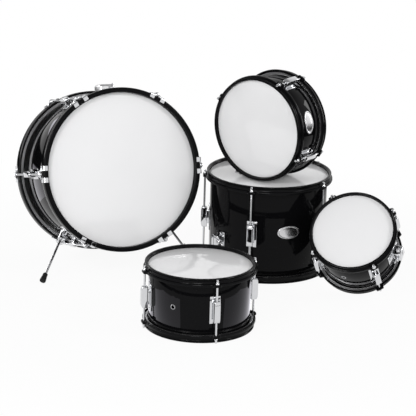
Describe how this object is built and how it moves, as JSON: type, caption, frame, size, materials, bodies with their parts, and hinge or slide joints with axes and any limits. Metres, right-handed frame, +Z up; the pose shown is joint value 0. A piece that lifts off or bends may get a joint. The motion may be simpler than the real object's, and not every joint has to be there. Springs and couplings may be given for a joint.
{
  "type": "drum kit",
  "caption": "Compact drum kit as unpacked: tilted bass drum on spurs, floor tom, two small toms and a shallow front drum.",
  "frame": {"origin": "middle of the whole arrangement, on the floor it stands on", "axes": "+Z up, -Y towards the viewer of the picture, +X to that viewer's right"},
  "size_m": [1.0462, 0.8698, 0.541],
  "materials": {
    "black_lacquer": "high-gloss black lacquer",
    "black_hoop": "gloss black",
    "black_wood_hoop": "gloss black",
    "head_film": "coated white film",
    "chrome": "polished",
    "black_rubber": "matte"
  },
  "bodies": {
    "bass": {"bass_shell": "black_lacquer", "bass_front_head": "head_film", "bass_rear_head": "head_film", "bass_front_hoop": "black_wood_hoop", "bass_rear_hoop": "black_wood_hoop", "bass_lug_1": "chrome", "bass_lug_2": "chrome", "bass_lug_3": "chrome", "bass_lug_4": "chrome", "bass_lug_5": "chrome", "bass_lug_6": "chrome"},
    "floor_tom": {"floor_tom_shell": "black_lacquer", "floor_tom_batter_head": "head_film", "floor_tom_bottom_head": "head_film", "floor_tom_top_hoop": "black_hoop", "floor_tom_bottom_hoop": "black_hoop", "floor_tom_lug_1": "chrome", "floor_tom_lug_2": "chrome", "floor_tom_lug_3": "chrome", "floor_tom_lug_4": "chrome", "floor_tom_lug_5": "chrome"},
    "front_drum": {"front_drum_shell": "black_lacquer", "front_drum_batter_head": "head_film", "front_drum_bottom_head": "head_film", "front_drum_top_hoop": "black_hoop", "front_drum_bottom_hoop": "black_hoop", "front_drum_lug_1": "chrome", "front_drum_lug_2": "chrome", "front_drum_lug_3": "chrome", "front_drum_lug_4": "chrome"},
    "top_tom": {"top_tom_shell": "black_lacquer", "top_tom_batter_head": "head_film", "top_tom_bottom_head": "head_film", "top_tom_top_hoop": "black_hoop", "top_tom_bottom_hoop": "black_hoop", "top_tom_lug_1": "chrome", "top_tom_lug_2": "chrome", "top_tom_lug_3": "chrome", "top_tom_lug_4": "chrome"},
    "side_tom": {"side_tom_shell": "black_lacquer", "side_tom_batter_head": "head_film", "side_tom_bottom_head": "head_film", "side_tom_top_hoop": "black_hoop", "side_tom_bottom_hoop": "black_hoop", "side_tom_lug_1": "chrome", "side_tom_lug_2": "chrome", "side_tom_lug_3": "chrome", "side_tom_lug_4": "chrome"},
    "spur_left": {"bass_spur_rod_left": "chrome", "bass_spur_foot_left": "black_rubber"},
    "spur_right": {"bass_spur_rod_right": "chrome", "bass_spur_foot_right": "black_rubber"},
    "bass_spur_wing_screw_left": {"bass_spur_wing_screw_left": "chrome"},
    "bass_spur_wing_screw_right": {"bass_spur_wing_screw_right": "chrome"},
    "bass_holder_wing_screw": {"bass_holder_wing_screw": "chrome"},
    "floor_tom_wing_screw_1": {"floor_tom_wing_screw_1": "chrome"},
    "floor_tom_wing_screw_2": {"floor_tom_wing_screw_2": "chrome"},
    "floor_tom_wing_screw_3": {"floor_tom_wing_screw_3": "chrome"},
    "top_tom_wing_screw": {"top_tom_wing_screw": "chrome"},
    "side_tom_wing_screw": {"side_tom_wing_screw": "chrome"}
  },
  "joints": [
    {"name": "bass_slide", "type": "slide", "parent": "floor_tom", "child": "bass", "axis": [-1, 0, 0], "range_m": [0, 0.3]},
    {"name": "front_drum_slide", "type": "slide", "parent": "floor_tom", "child": "front_drum", "axis": [0, -1, 0], "range_m": [0, 0.3]},
    {"name": "top_tom_lift", "type": "slide", "parent": "floor_tom", "child": "top_tom", "axis": [0, 0, 1], "range_m": [0, 0.3]},
    {"name": "side_tom_slide", "type": "slide", "parent": "floor_tom", "child": "side_tom", "axis": [0.8241, -0.5664, 0], "range_m": [0, 0.3]},
    {"name": "spur_left_slide", "type": "slide", "parent": "bass", "child": "spur_left", "axis": [-0.2749, -0.7662, -0.5809], "range_m": [-0.06, 0.02]},
    {"name": "spur_right_slide", "type": "slide", "parent": "bass", "child": "spur_right", "axis": [0.6077, -0.4546, -0.6512], "range_m": [-0.06, 0.02]},
    {"name": "bass_spur_wing_screw_left_turn", "type": "hinge", "parent": "bass", "child": "bass_spur_wing_screw_left", "pos_m": [-0.37489, 0.09893, 0.08974], "axis": [0.3158, 0.4987, -0.8072], "continuous": true},
    {"name": "bass_spur_wing_screw_right_turn", "type": "hinge", "parent": "bass", "child": "bass_spur_wing_screw_right", "pos_m": [-0.10313, 0.2086, 0.09017], "axis": [-0.5051, 0.4116, -0.7586], "continuous": true},
    {"name": "bass_holder_wing_screw_turn", "type": "hinge", "parent": "bass", "child": "bass_holder_wing_screw", "pos_m": [-0.25986, 0.2553, 0.46533], "axis": [0.3542, -0.8946, 0.2723], "continuous": true},
    {"name": "floor_tom_wing_screw_1_turn", "type": "hinge", "parent": "floor_tom", "child": "floor_tom_wing_screw_1", "pos_m": [0.0401, 0.07448, 0.098], "axis": [0.6088, -0.7934, 0], "continuous": true},
    {"name": "floor_tom_wing_screw_2_turn", "type": "hinge", "parent": "floor_tom", "child": "floor_tom_wing_screw_2", "pos_m": [0.33537, 0.13397, 0.098], "axis": [0.3827, 0.9239, 0], "continuous": true},
    {"name": "floor_tom_wing_screw_3_turn", "type": "hinge", "parent": "floor_tom", "child": "floor_tom_wing_screw_3", "pos_m": [0.13621, 0.35994, 0.098], "axis": [-0.9914, -0.1305, 0], "continuous": true},
    {"name": "top_tom_wing_screw_turn", "type": "hinge", "parent": "top_tom", "child": "top_tom_wing_screw", "pos_m": [0.05552, 0.24252, 0.36493], "axis": [-0.2669, 0.2004, 0.9426], "continuous": true},
    {"name": "side_tom_wing_screw_turn", "type": "hinge", "parent": "side_tom", "child": "side_tom_wing_screw", "pos_m": [0.50347, -0.06528, 0.1127], "axis": [-0.3036, -0.6224, -0.7214], "continuous": true}
  ]
}
